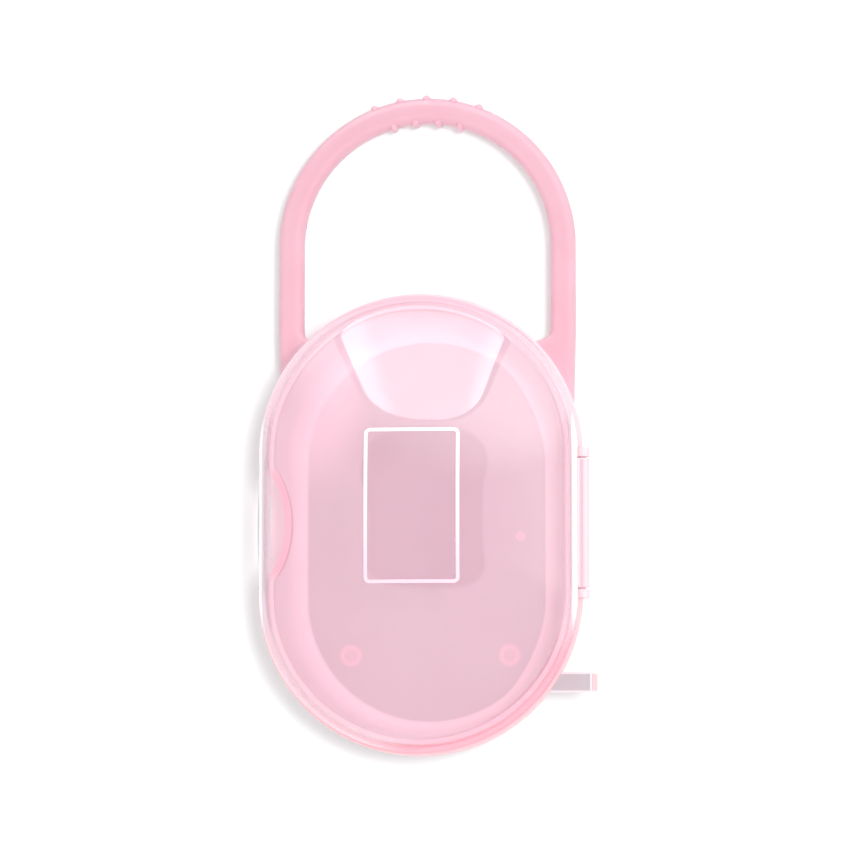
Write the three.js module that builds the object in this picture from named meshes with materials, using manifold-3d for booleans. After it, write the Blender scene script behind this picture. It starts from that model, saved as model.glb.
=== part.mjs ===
// A travel box for pacifiers: an oval tray with a carry handle, and a clear domed lid on a side hinge.
// Millimetres, +Z up. The box lies on its back: X runs across it towards the hinge, Y along it towards
// the handle, Z towards the lid. The origin is the middle of the tray's flat back.

import * as THREE from "three";
import { mergeVertices } from "three/addons/utils/BufferGeometryUtils.js";
import Module from "manifold-3d";

const wasm = await Module();
wasm.setup();

// Clearances and cutting

const restGap = 0.3; // between faces that rest on each other, or that pass each other
const pinClearance = 0.1; // round the hinge pin
const lipClearance = 0.4; // between the tray's lip and the lid's skirt
const cutOverrun = 1; // how far a cutter runs past what it cuts
const rootOverlap = 0.5; // how far a moulded-on detail is sunk into the wall that carries it

// Fineness of the round shapes

const outlineSegments = 56;
const smallSegments = 24;
const wallSteps = 8;
const domeSteps = 10;
const cornerSteps = 3;
const archSteps = 26;
const webSteps = 6;

// Outline of the body, seen from the lid: two half circles joined by a straight

const bodyRadius = 36; // of the lid; the tray's rim stands a little further out
const bodyStraight = 31.2;
const endCentre = bodyStraight / 2;

// Tray

const trayDepth = 28; // from the back to the rim
const trayWall = 1.6;
const backInset = 7.4; // from the body's side in to the edge of the flat back
const bandOutset = 0.8; // how far the rim's band stands out past the lid
const bandDepth = 0.8; // how far the rim's band stands out of the wall
const bandHeight = 3.4;
const bandChamfer = 0.4;
const lipHeight = 2.3;
const lipWall = 1.2;
const lipChamfer = 0.3;
const cornerOutShare = 0.62; // how the wall's curve leaves the back
const cornerSideShare = 0.8; // how it comes up into the side
const cornerRiseShare = 0.16;

// Snap bead, on the lip's outside and as a groove in the lid's skirt

const beadDepth = 0.2;
const beadHeight = 0.8;
const beadRise = 0.9; // from the rim to the bead's foot

// Lid

const lidWall = 1.4;
const skirtHeight = 4;
const domeHeight = 17.4;
const skirtChamfer = 0.3;
const fingerEdgeLength = 28; // of the lid's finger edge, which stands out over the thumb dish
const fingerEdgeOutset = 1; // from the lid's side out to the middle of its finger edge
const fingerEdgeHeight = 1.4;
const fingerEdgeRound = 0.3;

// Hinge along the right side

const hingeLength = 34;
const earWidth = 2.1;
const barrelRadius = 1.8;
const pinRadius = 0.9;
const pinChamfer = 0.2;
const earFloor = 0.5; // left at the blind end of each ear's bore
const axisOutset = 0.6; // from the body's side out to the hinge axis
const slitWidth = 1.3; // the barrel's slit, which snaps over the pin

// Thumb dish under the lid's left edge

const dishLength = 27;
const dishDepth = 5.6;
const dishReach = 12; // down from the rim
const dishOutset = 3; // from the outline out to the dish's centre

// Carry handle

const handleInset = 1.6; // from the body's side in to the handle's side
const legWidth = 5.8;
const crownWidth = 5.8;
const handleThickness = 6;
const handleEdge = 2; // rounding of the bar's edges
const handleHeight = 9; // of the bar's middle above the back
const archRise = 50.1; // from the body's end centre up to the arch's centre
const webReach = 8.2; // how far the web runs from a leg's inner side along the wall
const webRise = 4.2; // how far the web climbs the leg

// Grip ribs over the crown, outside and in between them inside

const outerRibs = 5;
const innerRibs = 4;
const ribPitch = THREE.MathUtils.degToRad(10.4);
const ribRadius = 0.95;
const ribHeight = 0.7;
const ribEnd = 0.5; // from a rib's end to the bar's face

// Flat tab on the rim, low on the hinge side

const tabWidth = 4.6;
const tabThickness = 1.8;
const tabOutset = 3.2; // from the rim's side out to the tab's tip
const tabDrop = 20.2; // from the body's end centre down to the tab's middle
const tabCorner = 0.8;
const tabEdge = 0.35;
const tabTopStep = 0.2; // from the rim down to the tab's face

// Ring feet and the mark of the mould's gate, on the back

const footRadius = 2.5;
const footBore = 1.2;
const footHeight = 0.6;
const footInset = 6; // from the flat back's edge in to a foot's centre
const footAngle = THREE.MathUtils.degToRad(35.4);
const gateX = 20.5;
const gateY = -0.6;
const gateRadius = 0.9;
const gateDepth = 0.4;

// Values worked out from the sizes above

const backRadius = bodyRadius - backInset;
const rimRadius = bodyRadius + bandOutset;
const bandFoot = trayDepth - bandHeight;
const wallRadius = rimRadius - bandDepth;
const lipRadius = bodyRadius - lidWall - lipClearance;
const lipInner = lipRadius - lipWall;
const lipTop = trayDepth + lipHeight;
const lidBottom = trayDepth + restGap;
const domeFoot = lidBottom + skirtHeight;
const skirtInner = bodyRadius - lidWall;
const beadFoot = trayDepth + beadRise;
const hingeX = bodyRadius + axisOutset;
const barrelLength = hingeLength - 2 * (earWidth + restGap);
const runningRadius = barrelRadius + restGap;
const boreRadius = pinRadius + pinClearance;
const handleOuter = bodyRadius - handleInset;
const legInner = handleOuter - legWidth;
const archCentre = endCentre + archRise;

// Turning a three.js geometry into a solid that can be joined and cut, and back

function toSolid(geometry) {
  const bare = geometry.clone();
  bare.deleteAttribute("normal");
  bare.deleteAttribute("uv");
  const merged = mergeVertices(bare);
  return new wasm.Manifold(
    new wasm.Mesh({
      numProp: 3,
      vertProperties: merged.attributes.position.array,
      triVerts: new Uint32Array(merged.index.array),
    }),
  );
}

function toGeometry(solid) {
  const mesh = solid.getMesh();
  const geometry = new THREE.BufferGeometry();
  geometry.setAttribute("position", new THREE.BufferAttribute(mesh.vertProperties, mesh.numProp));
  geometry.setIndex(new THREE.BufferAttribute(mesh.triVerts, 1));
  const flat = geometry.toNonIndexed();
  flat.computeVertexNormals();
  return flat;
}

function joined(solids) {
  return solids.reduce((whole, next) => whole.add(next));
}

// An oval solid: a profile of rings turned about Z, and its two halves drawn apart along Y.
// Each ring gives its radius, its height, and half of its straight length.
// No column of points lies on Y = 0, so the faces that cross it become the straight sides.

function ovalSolid(rings) {
  const profile = rings.map((ring) => new THREE.Vector2(ring.radius, ring.height));
  const geometry = new THREE.LatheGeometry(profile, outlineSegments, Math.PI / outlineSegments);
  geometry.rotateX(Math.PI / 2);
  const points = geometry.attributes.position;
  for (let i = 0; i < points.count; i += 1) {
    const column = Math.floor(i / rings.length);
    const angle = ((column + 0.5) / outlineSegments) * 2 * Math.PI;
    const side = Math.sign(-Math.cos(angle));
    points.setY(i, points.getY(i) + side * rings[i % rings.length].half);
  }
  return toSolid(geometry);
}

// A ring of the body's outline at a given radius and height
function bodyRing(radius, height) {
  return { radius, height, half: endCentre };
}

// A solid through a row of closed rings with as many points each, capped flat at both ends.
// Seen against the direction of the row, each ring runs anticlockwise.

function loftSolid(rings) {
  const count = rings[0].length;
  const positions = rings.flat().flatMap((point) => point.toArray());
  const index = [];
  for (let row = 0; row + 1 < rings.length; row += 1) {
    for (let i = 0; i < count; i += 1) {
      const here = row * count + i;
      const next = row * count + ((i + 1) % count);
      index.push(here, next, next + count, here, next + count, here + count);
    }
  }
  const last = (rings.length - 1) * count;
  for (let i = 1; i + 1 < count; i += 1) {
    index.push(0, i + 1, i, last, last + i, last + i + 1);
  }
  const geometry = new THREE.BufferGeometry();
  geometry.setAttribute("position", new THREE.Float32BufferAttribute(positions, 3));
  geometry.setIndex(index);
  return toSolid(geometry);
}

// A round rod along the hinge axis, of a given length and with its middle at a given place along Y
function hingeRod(radius, length, middle) {
  const geometry = new THREE.CylinderGeometry(radius, radius, length, smallSegments);
  geometry.translate(hingeX, middle, trayDepth);
  return toSolid(geometry);
}

function ellipsoid(semiX, semiY, semiZ) {
  const geometry = new THREE.SphereGeometry(1, outlineSegments / 2, smallSegments);
  geometry.scale(semiX, semiY, semiZ);
  geometry.translate(-(bodyRadius + dishOutset), 0, trayDepth);
  return toSolid(geometry);
}

// Tray walls

const wallCurve = new THREE.CubicBezierCurve(
  new THREE.Vector2(backRadius, 0),
  new THREE.Vector2(backRadius + cornerOutShare * (wallRadius - backRadius), 0),
  new THREE.Vector2(backRadius + cornerSideShare * (wallRadius - backRadius), cornerRiseShare * bandFoot),
  new THREE.Vector2(wallRadius, bandFoot),
);

// The wall's line, moved inwards by a given distance square to itself
function wallRings(inset) {
  const rings = [];
  for (let step = 0; step <= wallSteps; step += 1) {
    const point = wallCurve.getPoint(step / wallSteps);
    const along = wallCurve.getTangent(step / wallSteps);
    rings.push(bodyRing(point.x - along.y * inset, point.y + along.x * inset));
  }
  return rings;
}

// Half the tray's outside width at a given height
function wallRadiusAt(height) {
  let low = 0;
  let high = 1;
  for (let pass = 0; pass < 30; pass += 1) {
    const middle = (low + high) / 2;
    if (wallCurve.getPoint(middle).y < height) low = middle;
    else high = middle;
  }
  return wallCurve.getPoint(low).x;
}

function trayOutside() {
  return ovalSolid([
    bodyRing(0, 0),
    ...wallRings(0),
    bodyRing(rimRadius, bandFoot + bandDepth),
    bodyRing(rimRadius, trayDepth - bandChamfer),
    bodyRing(rimRadius - bandChamfer, trayDepth),
    bodyRing(lipRadius, trayDepth),
    bodyRing(lipRadius, beadFoot),
    bodyRing(lipRadius + beadDepth, beadFoot + beadHeight / 2),
    bodyRing(lipRadius, beadFoot + beadHeight),
    bodyRing(lipRadius, lipTop - lipChamfer),
    bodyRing(lipRadius - lipChamfer, lipTop),
    bodyRing(0, lipTop),
  ]);
}

function trayHollow() {
  const inner = wallRings(trayWall);
  return ovalSolid([
    bodyRing(0, trayWall),
    ...inner,
    bodyRing(lipInner, trayDepth - bandChamfer),
    bodyRing(lipInner, lipTop + cutOverrun),
    bodyRing(0, lipTop + cutOverrun),
  ]);
}

// The thumb dish cuts through the rim, and the wall goes round it on the inside
function dishSemis(grow) {
  const semiX = dishOutset + dishDepth;
  const semiY = dishLength / 2 / Math.sqrt(1 - (dishOutset / semiX) ** 2);
  return [semiX + grow, semiY + grow, dishReach + grow];
}

// Handle bar

// A rounded rectangle from inner to outer, measured along a flat direction from a centre, and thick in Z
function barRing(centre, direction, inner, outer) {
  const ring = [];
  const corners = [
    [inner + handleEdge, -1, Math.PI],
    [outer - handleEdge, -1, 1.5 * Math.PI],
    [outer - handleEdge, 1, 0],
    [inner + handleEdge, 1, 0.5 * Math.PI],
  ];
  for (const [reach, side, start] of corners) {
    for (let step = 0; step <= cornerSteps; step += 1) {
      const angle = start + (step / cornerSteps) * 0.5 * Math.PI;
      const along = reach + handleEdge * Math.cos(angle);
      const up = handleHeight + side * (handleThickness / 2 - handleEdge) + handleEdge * Math.sin(angle);
      ring.push(new THREE.Vector3(centre.x + direction.x * along, centre.y + direction.y * along, up));
    }
  }
  return ring;
}

// The web's edge on the right leg, from the wall up to the leg's inner side
const wallMiddle = wallRadiusAt(handleHeight) - trayWall / 2;
const webFootX = legInner - webReach;
const webFootY = endCentre + Math.sqrt(wallMiddle ** 2 - webFootX ** 2);
const rootTop = webFootY + webRise;
const webCurve = new THREE.QuadraticBezierCurve(
  new THREE.Vector2(webFootX, webFootY),
  new THREE.Vector2(legInner, webFootY + handleEdge / 2),
  new THREE.Vector2(legInner, rootTop),
);

// The root of one leg, with its web, grows out of the tray's wall. Side is 1 on the right and -1 on the left.
function legRoot(side) {
  const edge = webCurve.getPoints(webSteps).map((point) => [point.x, point.y]);
  const across = new THREE.Vector2(side, 0);
  const start = barRing(new THREE.Vector2(0, endCentre), across, webFootX, wallMiddle);
  const rest = edge.map(([inner, y]) => barRing(new THREE.Vector2(0, y), across, inner, handleOuter));
  const rings = [start, ...rest];
  return loftSolid(side > 0 ? rings.map((ring) => ring.reverse()) : rings);
}

function carryHandle() {
  const rings = [barRing(new THREE.Vector2(0, rootTop), new THREE.Vector2(1, 0), legInner, handleOuter)];
  for (let step = 0; step <= archSteps; step += 1) {
    const angle = (step / archSteps) * Math.PI;
    const width = legWidth - (legWidth - crownWidth) * Math.sin(angle);
    const outwards = new THREE.Vector2(Math.cos(angle), Math.sin(angle));
    rings.push(barRing(new THREE.Vector2(0, archCentre), outwards, handleOuter - width, handleOuter));
  }
  rings.push(barRing(new THREE.Vector2(0, rootTop), new THREE.Vector2(-1, 0), legInner, handleOuter));
  const bar = loftSolid(rings.map((ring) => ring.reverse()));
  const outside = ribRow(outerRibs, handleOuter + ribHeight - ribRadius);
  const inside = ribRow(innerRibs, handleOuter - crownWidth - ribHeight + ribRadius);
  return joined([bar, ...outside, ...inside]);
}

// Grip ribs: short round bars across the handle, evenly spaced about its crown
function ribRow(count, radius) {
  const length = handleThickness - 2 * (ribRadius + ribEnd);
  return Array.from({ length: count }, (_, i) => {
    const angle = (i - (count - 1) / 2) * ribPitch;
    const geometry = new THREE.CapsuleGeometry(ribRadius, length, cornerSteps, smallSegments / 2);
    geometry.rotateX(Math.PI / 2);
    geometry.translate(radius * Math.sin(angle), archCentre + radius * Math.cos(angle), handleHeight);
    return toSolid(geometry);
  });
}

// Small details of the tray

function sideTab() {
  const middle = -(endCentre + tabDrop);
  const tip = rimRadius + tabOutset - tabEdge;
  const rim = Math.sqrt(rimRadius ** 2 - tabDrop ** 2);
  const half = tabWidth / 2 - tabEdge;
  const outline = new THREE.Shape();
  outline.moveTo(rim - bandDepth - trayWall, middle - half);
  outline.lineTo(tip - tabCorner, middle - half);
  outline.absarc(tip - tabCorner, middle - half + tabCorner, tabCorner, -Math.PI / 2, 0, false);
  outline.lineTo(tip, middle + half - tabCorner);
  outline.absarc(tip - tabCorner, middle + half - tabCorner, tabCorner, 0, Math.PI / 2, false);
  outline.lineTo(rim - bandDepth - trayWall, middle + half);
  const geometry = new THREE.ExtrudeGeometry(outline, {
    depth: tabThickness - 2 * tabEdge,
    curveSegments: cornerSteps + 1,
    bevelThickness: tabEdge,
    bevelSize: tabEdge,
    bevelSegments: cornerSteps,
  });
  geometry.translate(0, 0, trayDepth - tabTopStep - tabThickness + tabEdge);
  return toSolid(geometry);
}

function ringFeet() {
  const profile = [
    new THREE.Vector2(footBore, rootOverlap),
    new THREE.Vector2(footBore, -footHeight),
    new THREE.Vector2(footRadius, -footHeight),
    new THREE.Vector2(footRadius, rootOverlap),
    new THREE.Vector2(footBore, rootOverlap),
  ];
  const reach = backRadius - footInset;
  const feet = [];
  for (const sideX of [-1, 1]) {
    for (const sideY of [-1, 1]) {
      const geometry = new THREE.LatheGeometry(profile, smallSegments);
      geometry.rotateX(Math.PI / 2);
      const x = sideX * reach * Math.cos(footAngle);
      const y = sideY * (endCentre + reach * Math.sin(footAngle));
      geometry.translate(x, y, 0);
      feet.push(toSolid(geometry));
    }
  }
  return feet;
}

function gateMark() {
  const geometry = new THREE.CylinderGeometry(gateRadius, gateRadius, 2 * gateDepth, smallSegments);
  geometry.rotateX(Math.PI / 2);
  geometry.translate(gateX, gateY, 0);
  return toSolid(geometry);
}

// A rod at each ear of the hinge: the ears themselves, or the room that the lid leaves round them
function rodsAtEars(radius, length) {
  const middle = (hingeLength - earWidth) / 2;
  return joined([-1, 1].map((side) => hingeRod(radius, length, side * middle)));
}

const pinLength = hingeLength - 2 * (earFloor + restGap);

function tray() {
  const outside = trayOutside();
  const round = ellipsoid(...dishSemis(trayWall)).intersect(outside);
  const shell = joined([outside, legRoot(1), legRoot(-1), sideTab()]).subtract(trayHollow());
  return joined([shell, round])
    .subtract(ellipsoid(...dishSemis(0)))
    .subtract(hingeRod(runningRadius, barrelLength + 2 * restGap, 0))
    .add(rodsAtEars(barrelRadius, earWidth))
    .add(joined(ringFeet()))
    .subtract(hingeRod(boreRadius, hingeLength - 2 * earFloor, 0))
    .subtract(gateMark());
}

// Lid: a skirt that stands on the rim, and a dome that flattens towards the middle

// The dome's rings from the skirt up, for a wall set in by a given distance
function domeRings(inset) {
  const rings = [];
  for (let step = 0; step <= domeSteps; step += 1) {
    const angle = (step / domeSteps) * 0.5 * Math.PI;
    const share = step === domeSteps ? 0 : Math.cos(angle);
    rings.push({
      radius: (bodyRadius - inset) * share,
      height: domeFoot + (domeHeight - inset) * Math.sin(angle),
      half: endCentre * share,
    });
  }
  return rings;
}

// The finger edge under which a thumb lifts the lid: a flat plate, curved on its outer side
function fingerEdge() {
  const half = fingerEdgeLength / 2;
  const curve = (half ** 2 + fingerEdgeOutset ** 2) / (2 * fingerEdgeOutset);
  const sweep = Math.asin(half / curve);
  const root = lidWall / 2 - bodyRadius;
  const outline = new THREE.Shape();
  const centre = curve - fingerEdgeOutset - bodyRadius;
  outline.absarc(centre, 0, curve - fingerEdgeRound, Math.PI - sweep, Math.PI + sweep, false);
  outline.lineTo(root, -half);
  outline.lineTo(root, half);
  const geometry = new THREE.ExtrudeGeometry(outline, {
    depth: fingerEdgeHeight - 2 * fingerEdgeRound,
    curveSegments: smallSegments,
    bevelThickness: fingerEdgeRound,
    bevelSize: fingerEdgeRound,
    bevelSegments: cornerSteps - 1,
  });
  geometry.translate(0, 0, lidBottom + fingerEdgeRound);
  return toSolid(geometry);
}

function lid() {
  const shell = ovalSolid([
    ...domeRings(lidWall).reverse(),
    bodyRing(skirtInner, beadFoot + beadHeight),
    bodyRing(skirtInner + beadDepth, beadFoot + beadHeight / 2),
    bodyRing(skirtInner, beadFoot),
    bodyRing(skirtInner, lidBottom),
    bodyRing(bodyRadius - skirtChamfer, lidBottom),
    bodyRing(bodyRadius, lidBottom + skirtChamfer),
    ...domeRings(0),
  ]);
  const slit = new THREE.BoxGeometry(slitWidth, barrelLength + 2 * cutOverrun, barrelRadius + cutOverrun);
  slit.translate(hingeX, 0, trayDepth - (barrelRadius + cutOverrun) / 2);
  return shell
    .add(fingerEdge())
    .subtract(rodsAtEars(runningRadius, earWidth + 2 * restGap))
    .add(hingeRod(barrelRadius, barrelLength, 0))
    .subtract(hingeRod(boreRadius, barrelLength + 2 * cutOverrun, 0))
    .subtract(toSolid(slit));
}

function hingePin() {
  const half = pinLength / 2;
  const profile = [
    new THREE.Vector2(0, -half),
    new THREE.Vector2(pinRadius - pinChamfer, -half),
    new THREE.Vector2(pinRadius, -half + pinChamfer),
    new THREE.Vector2(pinRadius, half - pinChamfer),
    new THREE.Vector2(pinRadius - pinChamfer, half),
    new THREE.Vector2(0, half),
  ];
  return new THREE.LatheGeometry(profile, smallSegments);
}

// Materials: the tray's milky pink plastic, and the lid's clear plastic with a pink tint

const pinkPlastic = new THREE.MeshStandardMaterial({ color: 0xfbbece, roughness: 0.35, metalness: 0 });
const clearPlastic = new THREE.MeshStandardMaterial({
  color: 0xfadfed,
  roughness: 0.08,
  metalness: 0,
  transparent: true,
  opacity: 0.35,
});

// Assembly

function piece(name, geometry, material) {
  const mesh = new THREE.Mesh(geometry, material);
  mesh.name = name;
  return mesh;
}

const box = new THREE.Group();
const fixed = new THREE.Group();
fixed.add(piece("base_tray", toGeometry(tray()), pinkPlastic));
fixed.add(piece("carry_handle", toGeometry(carryHandle()), pinkPlastic));
const pin = piece("hinge_pin", hingePin(), pinkPlastic);
pin.position.set(hingeX, 0, trayDepth);
fixed.add(pin);
box.add(fixed);

const swinging = new THREE.Group();
swinging.add(piece("lid", toGeometry(lid()), clearPlastic));
box.add(swinging);

export default box;
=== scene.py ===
"""The looks of a travel box for pacifiers: a milky pink tray with a loop handle, under a clear domed lid.

The box lies on its back. X runs across it towards the hinge, Y along it towards the handle, Z up to the lid.
The origin is the middle of the tray's flat back. Lengths are in metres.
"""

import math
from functools import reduce

import bmesh
import bpy
from bpy.props import FloatProperty, FloatVectorProperty, IntProperty, PointerProperty
from bpy.types import Operator, Panel, PropertyGroup
from mathutils import Matrix, Vector
from mathutils.geometry import interpolate_bezier


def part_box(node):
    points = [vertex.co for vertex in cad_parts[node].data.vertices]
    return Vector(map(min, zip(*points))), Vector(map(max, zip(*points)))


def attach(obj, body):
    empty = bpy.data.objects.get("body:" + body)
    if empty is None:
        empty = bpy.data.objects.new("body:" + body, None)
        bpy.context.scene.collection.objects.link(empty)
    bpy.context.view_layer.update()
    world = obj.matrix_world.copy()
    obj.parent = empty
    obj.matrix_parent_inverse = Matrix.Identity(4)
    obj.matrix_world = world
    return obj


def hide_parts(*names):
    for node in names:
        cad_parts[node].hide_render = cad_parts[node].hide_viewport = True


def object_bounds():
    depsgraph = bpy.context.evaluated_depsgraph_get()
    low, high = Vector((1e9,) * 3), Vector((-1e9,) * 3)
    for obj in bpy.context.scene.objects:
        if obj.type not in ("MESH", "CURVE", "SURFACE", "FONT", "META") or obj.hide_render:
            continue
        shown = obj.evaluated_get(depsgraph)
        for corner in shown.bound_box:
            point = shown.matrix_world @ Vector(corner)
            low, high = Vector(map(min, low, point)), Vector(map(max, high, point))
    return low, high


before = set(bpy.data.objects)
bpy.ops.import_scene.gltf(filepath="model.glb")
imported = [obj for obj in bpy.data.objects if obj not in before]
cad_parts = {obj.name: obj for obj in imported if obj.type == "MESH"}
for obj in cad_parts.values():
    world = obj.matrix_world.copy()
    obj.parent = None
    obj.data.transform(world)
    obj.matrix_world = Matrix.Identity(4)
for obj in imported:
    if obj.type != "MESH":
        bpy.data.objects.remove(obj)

bl_info = {
    "name": "Pacifier Box",
    "version": (1, 0, 0),
    "blender": (4, 5, 0),
    "location": "View3D > Sidebar > Pacifier Box",
    "description": "Builds a pacifier travel box with a loop handle and a clear hinged lid",
    "category": "Object",
}

CAD_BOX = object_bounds()
PIN_LOW, PIN_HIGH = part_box("hinge_pin")
HINGE_X = (PIN_LOW.x + PIN_HIGH.x) / 2
HINGE_Z = (PIN_LOW.z + PIN_HIGH.z) / 2


# Sizes and finishes that a user may change


def length(label, meaning, metres):
    return FloatProperty(
        name=label, description=meaning, default=metres, precision=5, subtype="DISTANCE", unit="LENGTH"
    )


def share(label, meaning, value):
    return FloatProperty(name=label, description=meaning, default=value, min=0.0, max=1.0, subtype="FACTOR")


def number(label, meaning, value):
    return FloatProperty(name=label, description=meaning, default=value, min=0.0)


def count(label, meaning, value, least=0):
    return IntProperty(name=label, description=meaning, default=value, min=least, max=512)


def colour(label, meaning, rgb):
    return FloatVectorProperty(
        name=label, description=meaning, default=rgb, min=0.0, max=1.0, size=3, subtype="COLOR"
    )


class TraySizes(PropertyGroup):
    """Sizes of the tray, its rim and its thumb dish"""

    radius: length("Lid radius", "Half the width of the lid, which the tray follows", 0.036)
    straight: length("Straight", "Length of the straight sides between the two half circles", 0.0312)
    depth: length("Depth", "From the back to the rim", 0.028)
    wall: length("Wall", "Thickness of the tray's wall", 0.0016)
    back_inset: length("Back inset", "From the side in to the edge of the flat back", 0.0074)
    band_outset: length("Band outset", "How far the rim's band stands out past the lid", 0.0008)
    band_depth: length("Band depth", "How far the band stands out of the wall", 0.0008)
    band_height: length("Band height", "Height of the band", 0.0034)
    lip_height: length("Lip height", "How far the lip stands up inside the lid", 0.0023)
    lip_wall: length("Lip wall", "Thickness of the lip", 0.0012)
    lip_gap: length("Lip gap", "Clearance between the lip and the lid's skirt", 0.0004)
    edge: length("Edge", "Rounding of the rim's edges", 0.0004)
    bead_depth: length("Bead depth", "How far the snap bead stands out of the lip", 0.0002)
    bead_height: length("Bead height", "Height of the snap bead", 0.0008)
    bead_rise: length("Bead rise", "From the rim up to the bead's foot", 0.0009)
    dish_length: length("Dish length", "Length of the thumb dish along the rim", 0.027)
    dish_depth: length("Dish depth", "How far the thumb dish goes in", 0.0056)
    dish_reach: length("Dish reach", "How far the thumb dish goes down from the rim", 0.012)
    dish_outset: length("Dish outset", "From the side out to the dish's centre", 0.003)
    foot_radius: length("Foot radius", "Outer radius of a ring foot", 0.0025)
    foot_bore: length("Foot bore", "Inner radius of a ring foot", 0.0012)
    foot_height: length("Foot height", "How far a ring foot stands out of the back", 0.0006)
    foot_x: length("Foot X", "From the middle out to a foot, across the box", 0.01842)
    foot_y: length("Foot Y", "From the middle out to a foot, along the box", 0.02869)
    gate_x: length("Gate X", "Place of the mould's gate across the box", 0.0205)
    gate_y: length("Gate Y", "Place of the mould's gate along the box", -0.0006)
    gate_radius: length("Gate radius", "Radius of the gate's mark", 0.0009)
    gate_depth: length("Gate depth", "Depth of the gate's mark", 0.0004)
    tab_width: length("Tab width", "Width of the flat tab on the rim", 0.0046)
    tab_thickness: length("Tab thickness", "Thickness of the tab", 0.0018)
    tab_outset: length("Tab outset", "From the rim's side out to the tab's tip", 0.0032)
    tab_drop: length("Tab drop", "From the end's centre down to the tab's middle", 0.0202)
    tab_step: length("Tab step", "From the rim down to the tab's face", 0.0002)
    steps: count("Steps", "Faces round the outline", 192, 24)


class HandleSizes(PropertyGroup):
    """Sizes of the loop handle and its grip ribs"""

    inset: length("Inset", "From the body's side in to the handle's side", 0.0016)
    width: length("Width", "Width of the bar", 0.0058)
    thickness: length("Thickness", "Thickness of the bar", 0.006)
    edge: length("Edge", "Rounding of the bar's edges", 0.002)
    height: length("Height", "The bar's middle above the back", 0.009)
    rise: length("Rise", "From the body's end centre up to the arch's centre", 0.0501)
    web_reach: length("Web reach", "How far the web runs in from a leg along the wall", 0.0082)
    web_rise: length("Web rise", "How far the web climbs the leg", 0.0042)
    web_knee: length("Web knee", "From the web's foot up to its corner on the leg", 0.0014)
    rib_radius: length("Rib radius", "Radius of a grip rib", 0.00095)
    rib_height: length("Rib height", "How far a rib stands out of the bar", 0.0007)
    rib_end: length("Rib end", "From a rib's end to the bar's face", 0.0005)
    rib_pitch: FloatProperty(
        name="Rib pitch",
        description="Angle from one rib to the next",
        default=math.radians(10.4),
        subtype="ANGLE",
    )
    outer_ribs: count("Outer ribs", "Grip ribs on the outside", 5)
    inner_ribs: count("Inner ribs", "Grip ribs on the inside", 4)
    steps: count("Steps", "Faces round the arch", 120, 16)


class LidSizes(PropertyGroup):
    """Sizes of the lid and of the hinge that it turns on"""

    wall: length("Wall", "Thickness of the lid", 0.0014)
    gap: length("Gap", "Between the lid and the rim that it rests on", 0.0003)
    skirt: length("Skirt", "Height of the skirt under the dome", 0.004)
    dome: length("Dome", "Height of the dome", 0.0174)
    edge: length("Edge", "Rounding of the skirt's lower edge", 0.0003)
    finger_length: length("Finger edge", "Length of the finger edge over the thumb dish", 0.028)
    finger_outset: length("Finger outset", "How far the finger edge stands out of the lid's side", 0.001)
    finger_height: length("Finger height", "Height of the finger edge", 0.0014)
    hinge_length: length("Hinge length", "Length of the hinge with its ears", 0.034)
    ear_width: length("Ear width", "Width of an ear along the hinge", 0.0021)
    ear_edge: length("Ear edge", "Rounding of an ear's edges", 0.0003)
    ear_floor: length("Ear floor", "Left at the blind end of an ear's bore", 0.0005)
    barrel_radius: length("Barrel radius", "Radius of the lid's hinge barrel", 0.0018)
    barrel_edge: length("Barrel edge", "Rounding of the barrel's edges", 0.00025)
    bore_radius: length("Bore radius", "Radius of the bore for the pin", 0.001)
    slit: length("Slit", "Width of the barrel's snap slit", 0.0013)
    dome_steps: count("Dome steps", "Faces from the skirt to the top", 36, 8)


class PrintSizes(PropertyGroup):
    """Sizes of the plain frame printed on the lid"""

    width: length("Width", "Width of the printed frame", 0.0213)
    height: length("Height", "Length of the printed frame", 0.0346)
    line: length("Line", "Width of the printed line", 0.0008)
    corner: length("Corner", "Radius of the frame's corners", 0.0013)
    rise: length("Rise", "From the lid's middle to the frame's middle", 0.0028)
    ink: length("Ink", "Thickness of the ink", 0.00004)


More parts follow.
